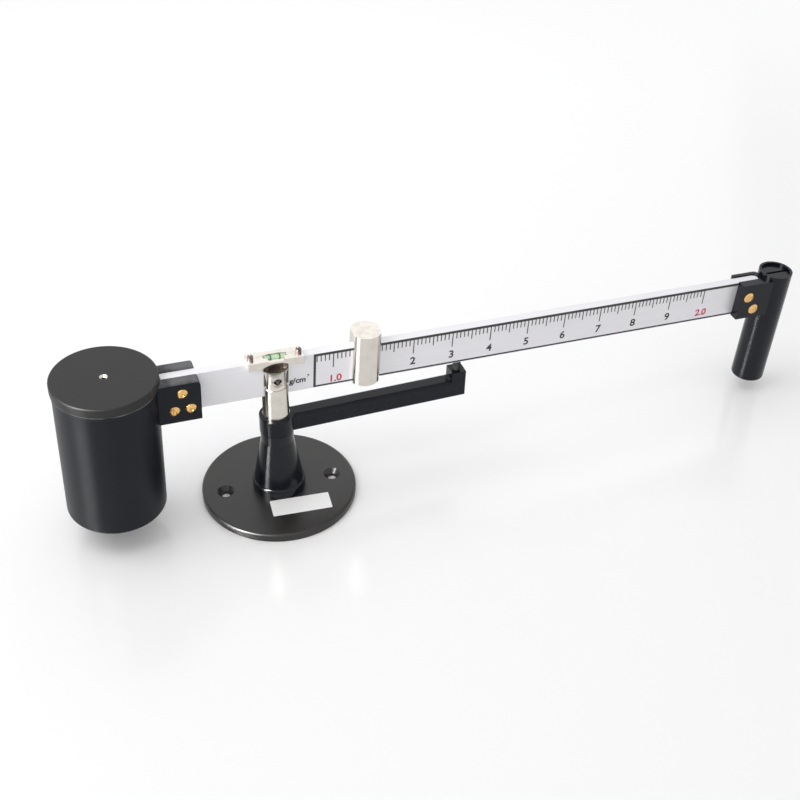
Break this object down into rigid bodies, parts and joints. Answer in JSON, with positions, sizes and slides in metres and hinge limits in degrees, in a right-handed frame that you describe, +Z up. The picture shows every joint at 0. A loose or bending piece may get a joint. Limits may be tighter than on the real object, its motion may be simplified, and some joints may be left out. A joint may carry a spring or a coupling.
{
  "type": "mud balance",
  "caption": "Mud balance: unequal-arm beam scale with a lidded cup, a rider on a graduated beam, a bubble level, a ballast tube and a round base with a stop arm.",
  "frame": {"origin": "centre of the circle through the two base holes, on the underside of the base plate, on the pillar's axis", "axes": "+X along the beam towards the ballast tube, -Y towards the viewer and the scale, +Z up along the pillar"},
  "size_m": [0.4199, 0.0832, 0.0968],
  "materials": {
    "base_black": "matte",
    "pillar_black": "gloss",
    "screw_steel": "satin",
    "bumper_rubber": "matte",
    "nickel": "polished",
    "knife_steel": "satin",
    "beam_aluminium": "satin",
    "vial_glass": "gloss",
    "level_green": "gloss",
    "cup_plastic": "gloss",
    "lid_plastic": "matte",
    "rivet_brass": "satin",
    "spring_bronze": "satin",
    "lead": "matte"
  },
  "bodies": {
    "stand": {"base_plate": "base_black", "pillar": "pillar_black", "pillar_screw": "screw_steel", "stop_arm": "pillar_black", "stop_bumper": "bumper_rubber", "bearing_post": "nickel", "knife_seat_front": "knife_steel", "knife_seat_rear": "knife_steel"},
    "beam": {"beam_bar": "beam_aluminium", "knife_edge": "knife_steel", "knife_plate_front": "knife_steel", "knife_plate_rear": "knife_steel", "knife_pins": "screw_steel", "level_saddle": "nickel", "level_vial": "vial_glass", "vial_liquid": "level_green", "level_screws": "screw_steel", "cup": "cup_plastic", "cup_rivets": "rivet_brass", "ballast_tube": "cup_plastic", "tube_rivets": "rivet_brass", "lead_shot": "lead"},
    "lid": {"lid": "lid_plastic"},
    "rider": {"rider": "nickel", "rider_spring": "spring_bronze"},
    "plug": {"tube_plug": "cup_plastic"}
  },
  "joints": [
    {"name": "beam_pivot", "type": "hinge", "parent": "stand", "child": "beam", "pos_m": [0, 0, 0.0744], "axis": [0, -1, 0], "range_deg": [0, 8]},
    {"name": "rider_slide", "type": "slide", "parent": "beam", "child": "rider", "axis": [0.9995, 0, -0.0311], "range_m": [-0.0263, 0.2167]},
    {"name": "lid_lift", "type": "slide", "parent": "beam", "child": "lid", "axis": [0.0311, 0, 0.9995], "range_m": [0, 0.03]},
    {"name": "plug_draw", "type": "slide", "parent": "beam", "child": "plug", "axis": [0.0311, 0, 0.9995], "range_m": [0, 0.012]}
  ]
}
